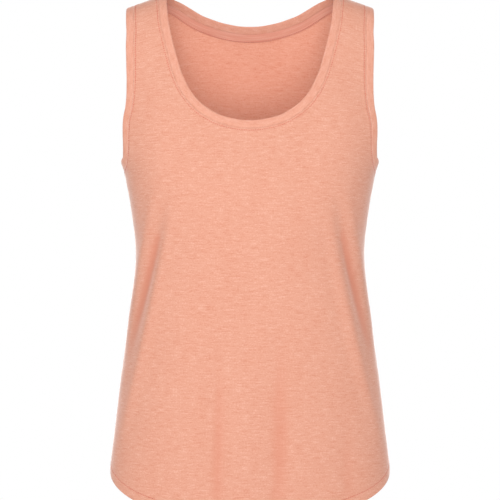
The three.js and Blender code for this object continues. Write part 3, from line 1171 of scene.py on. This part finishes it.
@dataclass(frozen=True)
class ClothFinish:
    """What the jersey finishes share: a base, a pale colour and a matt surface with a nap."""

    name: str
    base: Colour
    pale: Colour
    raised: float = 0.0001
    rough: float = 0.92
    shine: float = 0.2
    nap: float = 0.7
    nap_spread: float = 0.3
    nap_tint: Colour = tone(1.0, 0.95, 0.92)

    def pattern(self, shade: Shader) -> tuple[Wire, Wire]:
        """The colour and the height over the cloth."""
        raise NotImplementedError

    def make(self) -> Material:
        """The material."""
        shade = Shader(self.name)
        colour, height = self.pattern(shade)
        shade.dress(colour, self.rough, self.shine)
        shade.set("Sheen Weight", self.nap)
        shade.set("Sheen Roughness", self.nap_spread)
        shade.set("Sheen Tint", self.nap_tint)
        shade.bump(height, self.raised)
        return shade.material


@dataclass(frozen=True)
class MelangeFinish(ClothFinish):
    """Jersey of uneven yarn: pale above one level of its pattern, deep as far below its middle."""

    deep: Colour = tone(0.619, 0.253, 0.168)
    low: float = 0.64
    high: float = 0.86

    def melange(self, shade: Shader, uneven: Wire, total: float) -> Wire:
        """The three colours over a pattern that runs from 0 to this total."""
        light = shade.step(uneven, self.low, self.high)
        dark = shade.step(total - uneven, self.low, self.high)
        return shade.mix(dark, shade.mix(light, self.base, self.pale), self.deep)


@dataclass(frozen=True)
class JerseyFinish(MelangeFinish):
    """Melange slub jersey: uneven yarn in short level streaks, grainy, with a soft nap."""

    name: str = "jersey"
    base: Colour = tone(0.664, 0.316, 0.223)
    pale: Colour = tone(0.716, 0.383, 0.287)
    # A deeper coral painted into the crease troughs as shade, and the most of it that is mixed in.
    crease_shade_colour: Colour = tone(0.620, 0.220, 0.140)
    crease_shade_share: float = 0.75
    streak_long: float = 0.0105
    streak_high: float = 0.0018
    grain: float = 0.0015
    mottle: float = 0.035
    shares: tuple[float, float, float, float] = (0.5, 0.14, 0.52, 0.1)

    def pattern(self, shade: Shader) -> tuple[Wire, Wire]:
        """Streaks, slubs, grain and mottle, with painted shade that deepens the colour in the
        crease troughs.
        """
        streaks = shade.noise(self.streak_long, self.streak_high, 1.0, 0.5)
        slubs = shade.noise(2.2 * self.streak_long, 1.7 * self.streak_high, 1.0, 0.4)
        grain = shade.noise(1.25 * self.grain, self.grain, 1.0)
        mottle = shade.noise(self.mottle, 1.6 * self.mottle, 2.0)
        yarn = streaks * self.shares[0] + slubs * self.shares[1]
        uneven = yarn + grain * self.shares[2] + mottle * self.shares[3]
        colour = self.melange(shade, uneven, sum(self.shares))
        # Painted shade: the colour is pulled towards the deeper coral by how deep the place lies
        # in a crease trough.
        folded = shade.node("ShaderNodeAttribute", {"attribute_name": "folded"}, {}, "Fac")
        colour = shade.mix(folded * self.crease_shade_share, colour, self.crease_shade_colour)
        return colour, streaks * 0.7 + slubs * 0.3 + grain * 0.5


# A lighter copy of the jersey for the inner face: partly the paler reverse of the knit, partly
# painted light that brightens the inside of the back.
REVERSE = JerseyFinish(
    name="jersey_reverse",
    base=tone(0.790, 0.360, 0.250),
    pale=tone(0.830, 0.415, 0.306),
    deep=tone(0.740, 0.285, 0.187),
)


@dataclass(frozen=True)
class BandFinish(MelangeFinish):
    """The same jersey cut as a doubled strip, pulled smooth, its ribs across the strip."""

    name: str = "jersey_band"
    base: Colour = tone(0.682, 0.322, 0.230)
    pale: Colour = tone(0.720, 0.375, 0.282)
    deep: Colour = tone(0.642, 0.275, 0.186)
    low: float = 0.5
    high: float = 0.74
    raised: float = 0.00008
    rib_long: float = 0.009
    rib_high: float = 0.003
    grain_long: float = 0.0013
    grain_high: float = 0.0016

    def pattern(self, shade: Shader) -> tuple[Wire, Wire]:
        """Short ribs and grain."""
        ribs = shade.noise(self.rib_long, self.rib_high, 1.0, 0.4)
        grain = shade.noise(self.grain_long, self.grain_high, 1.0)
        uneven = ribs * 0.5 + grain * 0.5
        return self.melange(shade, uneven, 1), uneven


@dataclass(frozen=True)
class TapeFinish(ClothFinish):
    """The tape inside the back neck: finer jersey, with close lines along the strip."""

    name: str = "jersey_tape"
    base: Colour = tone(0.680, 0.280, 0.200)
    pale: Colour = tone(0.740, 0.380, 0.290)
    nap: float = 0.3
    nap_spread: float = 0.5
    nap_tint: Colour = tone(1.0, 1.0, 1.0)
    line_long: float = 0.04
    line_high: float = 0.0013
    grain: float = 0.0012

    def pattern(self, shade: Shader) -> tuple[Wire, Wire]:
        """Close lines and grain."""
        lines = shade.noise(self.line_long, self.line_high, 1.0)
        grain = shade.noise(self.grain, self.grain, 1.0)
        light = shade.step(lines, 0.42, 0.68) * 0.5 + shade.step(grain, 0.4, 0.7) * 0.25
        return shade.mix(light, self.base, self.pale), lines + grain * 0.5


@dataclass(frozen=True)
class ThreadFinish:
    """Spun polyester thread, deeper and redder than the cloth: partly its own colour, partly
    painted shade of the needle holes.
    """

    name: str = "thread"
    base: Colour = tone(0.620, 0.140, 0.095)
    deep: Colour = tone(0.520, 0.095, 0.060)
    twist: float = 900.0
    raised: float = 0.00006
    rough: float = 0.6
    shine: float = 0.3

    def make(self) -> Material:
        """The material."""
        shade = Shader(self.name)
        places = shade.node("ShaderNodeTexCoord", {}, {}, "Object")
        values = {"Vector": places, "Scale": self.twist, "Detail": 1.0}
        twist = shade.node("ShaderNodeTexNoise", {}, values)
        colour = shade.mix(shade.step(twist, 0.4, 0.65), self.base, self.deep)
        shade.dress(colour, self.rough, self.shine)
        shade.bump(twist, self.raised)
        return shade.material


@dataclass(frozen=True)
class FloorFinish:
    """A matt white studio floor."""

    name: str = "studio_floor"
    base: Colour = tone(1.0, 1.0, 1.0)
    rough: float = 0.9
    shine: float = 0.1

    def make(self) -> Material:
        """The material."""
        shade = Shader(self.name)
        shade.dress(self.base, self.rough, self.shine)
        return shade.material


# ---- The garment ----


@dataclass
class TankTop:
    """The whole garment: panels, bands, tape and stitching.

    Each line of stitches lies this far from its seam and this high over the form.
    """

    form: WornForm = field(default_factory=WornForm)
    neck_line: tuple[float, float] = (2.4, -0.06)
    arm_line: tuple[float, float] = (2.6, 0.05)
    tape_line: tuple[float, float] = (8.7, -2.18)
    tape_start: float = 3
    hem_height: float = -0.12
    hem_end: float = 89.6
    hem_places: int = 700
    line_step: float = 0.8
    front_cut: tuple[float, float] = (0.458, 0.650)
    front_area: float = 0.2137
    back_cut: tuple[float, float] = (0.441, 0.647)
    back_area: float = 0.2224
    band_shown: float = 0.0106
    tape_shown: float = 0.0105
    pieces: dict[str, Piece] = field(default_factory=dict)

    def __post_init__(self) -> None:
        """Lays the two seam lines on the form."""
        self.neck = Seam(self.form, NECK_ROWS, Column.ACROSS, 1)
        self.armhole = Seam(self.form, ARMHOLE_ROWS, Column.TURN, -1)

    def build(self) -> None:
        """Builds every piece and dresses it, and hides the CAD part that each piece but the
        stitches stands for.
        """
        jersey = [JerseyFinish().make(), REVERSE.make()]
        band = BandFinish().make()
        tape = TapeFinish().make()
        thread = ThreadFinish().make()
        for face in Face:
            word = face.name.lower()
            panel = Panel(f"{word}_cloth", face, self.form, self.neck, self.armhole, jersey)
            self._keep(panel.build(), f"{word}_panel")
        neck_band = Band("neck_binding", self.neck, 0.3)
        self._keep(neck_band.neck_ring(), "neck_band", band)
        for side in Side:
            word = side.name.lower()
            arm_band = Band(f"armhole_binding_{word}", self.armhole, 1.1 + side.value)
            ring = arm_band.arm_ring(side)
            self._keep(ring, f"armhole_band_{word}", band)
        back_tape = BackNeckTape("neck_tape", self.neck, self.form)
        self._keep(back_tape.build(), "back_neck_tape", tape)
        self._stitch(thread)

    def _keep(self, piece: Piece, node: str, finish: Any = None) -> None:
        """Dresses a piece that isn't dressed yet and lets it stand for its CAD node."""
        self._attach(piece, node, finish)
        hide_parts(node)

    def _attach(self, piece: Piece, key: str, finish: Any) -> None:
        """Gives a piece its finish, if there is one, and its body, and keeps it under this key."""
        if finish:
            piece.data.materials.append(finish)
        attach(piece, BODY)
        self.pieces[key] = piece
        LOG.info("%s: %d faces", piece.name, len(piece.data.polygons))

    def _line(self, seam: Seam, at: Array, place: tuple[float, float], side: Side) -> Pair:
        """A fine line beside a seam, on one side.

        Args:
            seam: The seam.
            at: Lengths along it.
            place: Distance from it and height over the form.
            side: Which side of the garment it is on.

        Returns:
            The line's points and the normals there.
        """
        distance, height = place
        turn, fall = seam.inside(at, distance)
        turn = turn * side.value
        normals = self.form.normals(turn, fall)
        return self.form.points(turn, fall) + normals * height, normals

    def _stitch(self, thread: Material) -> None:
        """Sews every visible line of stitches."""
        neck_runs, hem_runs, tape_runs = [], [], []
        neck_at = np.arange(0, self.neck.length, self.line_step)
        arm_at = np.arange(0, self.armhole.length, self.line_step)
        tape_at = np.arange(self.neck.shoulder + self.tape_start, self.neck.length, self.line_step)
        lines = []
        for side in Side:
            neck_runs.append(self._line(self.neck, neck_at, self.neck_line, side))
            arm_line = StitchLine(f"armhole_stitches_{side.name.lower()}")
            lines.append((arm_line, [self._line(self.armhole, arm_at, self.arm_line, side)]))
            points, normals = self._line(self.neck, tape_at, self.tape_line, side)
            tape_runs.append((points, -normals))
        turn = np.linspace(-self.hem_end, self.hem_end, self.hem_places)
        for face in Face:
            fall = face.value * np.sqrt(self.form.hem_drop(turn) - HEM_STITCH)
            normals = self.form.normals(turn, fall)
            hem_runs.append((self.form.points(turn, fall) + normals * self.hem_height, normals))
        lines.append((StitchLine("neck_stitches"), neck_runs))
        lines.append((StitchLine("hem_stitches"), hem_runs))
        lines.append((StitchLine("tape_stitches", pitch=2.4, long=1.8), tape_runs))
        for line, runs in lines:
            self._attach(line.build(runs), line.name, thread)

    def declare(self) -> None:
        """Works out the length of the back neck tape, and does nothing with it."""
        tape_long = 2 * (self.neck.length - self.neck.shoulder) * MM


# ---- Studio ----


@dataclass(frozen=True)
class Softbox:
    """A square soft light: its place and size in metres and its power in watts."""

    name: str
    place: tuple[float, float, float]
    size: float
    watts: float


SOFTBOXES = [
    Softbox("key", (0.0, -3.6, 1.4), 2.0, 15),
    Softbox("top", (0.0, -0.9, 3.0), 2.0, 41),
    Softbox("near_top", (0.0, -1.5, 0.45), 0.6, 6.8),
    Softbox("right_front", (-0.95, -3.6, -0.25), 1.3, 17),
    Softbox("left_front", (0.95, -3.6, -0.25), 1.3, 13),
    Softbox("low_front", (0.0, -3.9, -0.7), 1.3, 45),
    Softbox("right_fill", (-3.2, -2.3, 0.1), 2.2, 15),
    Softbox("right_rim", (-3.4, 0.2, 0.1), 2.2, 29),
    Softbox("left_rim", (3.4, 0.2, 0.1), 2.2, 34),
    Softbox("back_fill", (0.0, 4.2, 0.8), 3.0, 150),
]


@dataclass
class Studio:
    """A plain pale floor, soft light and the camera."""

    distance: float = 3.0
    level: float = -0.3083
    view: float = 0.610
    sensor: float = 36.0
    floor_height: float = -0.9
    floor_size: float = 4.6
    floor_thick: float = 0.05
    ambient: float = 0.1

    def build(self) -> None:
        """Sets up the camera, the floor, the lights and the backdrop's white."""
        self._camera()
        self._floor()
        for box in SOFTBOXES:
            self._softbox(box)
        self._world()
        bpy.context.scene.view_settings.view_transform = "Standard"
        bpy.context.scene.view_settings.look = "None"

    def _world(self) -> None:
        """A white backdrop that lights the garment less than it shines."""
        world = bpy.data.worlds.new("studio")
        bpy.context.scene.world = world
        world.use_nodes = True
        tree = world.node_tree
        background = tree.nodes["Background"]
        background.inputs["Color"].default_value = tone(1, 1, 1)
        seen = tree.nodes.new("ShaderNodeLightPath").outputs["Is Camera Ray"]
        strength = tree.nodes.new("ShaderNodeMapRange")
        tree.links.new(seen, strength.inputs["Value"])
        strength.inputs["To Min"].default_value = self.ambient
        strength.inputs["To Max"].default_value = 1.0
        tree.links.new(strength.outputs["Result"], background.inputs["Strength"])

    def _camera(self) -> None:
        """The camera, level and square on to the front."""
        bpy.ops.object.camera_add(
            location=(0, -self.distance, self.level), rotation=(math.pi / 2, 0, 0)
        )
        camera = bpy.context.object
        camera.name = "camera"
        camera.data.sensor_width = self.sensor
        camera.data.lens = self.sensor * self.distance / self.view
        camera.data.clip_end = 200
        bpy.context.scene.camera = camera

    def _floor(self) -> None:
        """A thin slab with eased edges, its top at the floor's height."""
        bpy.ops.object.select_all(action="DESELECT")
        bpy.ops.mesh.primitive_plane_add(size=1, location=(0, 0, 0))
        floor = bpy.context.object
        floor.name = "studio_floor"
        move = {"value": (0, 0, -self.floor_thick)}
        work(
            floor,
            partial(bpy.ops.transform.resize, value=(self.floor_size, self.floor_size, 1)),
            partial(bpy.ops.transform.translate, value=(0, 0, self.floor_height)),
            partial(bpy.ops.mesh.extrude_region_move, TRANSFORM_OT_translate=move),
            ALL,
            FACE_OUT,
            partial(bpy.ops.mesh.bevel, offset=self.floor_thick / 4, segments=2),
        )
        floor.data.materials.append(FloorFinish().make())

    def _softbox(self, box: Softbox) -> None:
        """A soft light aimed at the middle of the garment."""
        bpy.ops.object.light_add(type="AREA", location=box.place)
        light = bpy.context.object
        light.name = box.name
        light.data.shape = "SQUARE"
        light.data.size = box.size
        light.data.energy = box.watts
        aim = Vector((0, 0, self.level)) - Vector(box.place)
        light.rotation_euler = aim.to_track_quat("-Z", "Y").to_euler()


def main() -> None:
    """Builds the garment and the studio."""
    logging.basicConfig(level=logging.INFO, format="%(name)s: %(message)s")
    top = TankTop()
    top.build()
    top.declare()
    Studio().build()


if __name__ == "__main__":
    main()
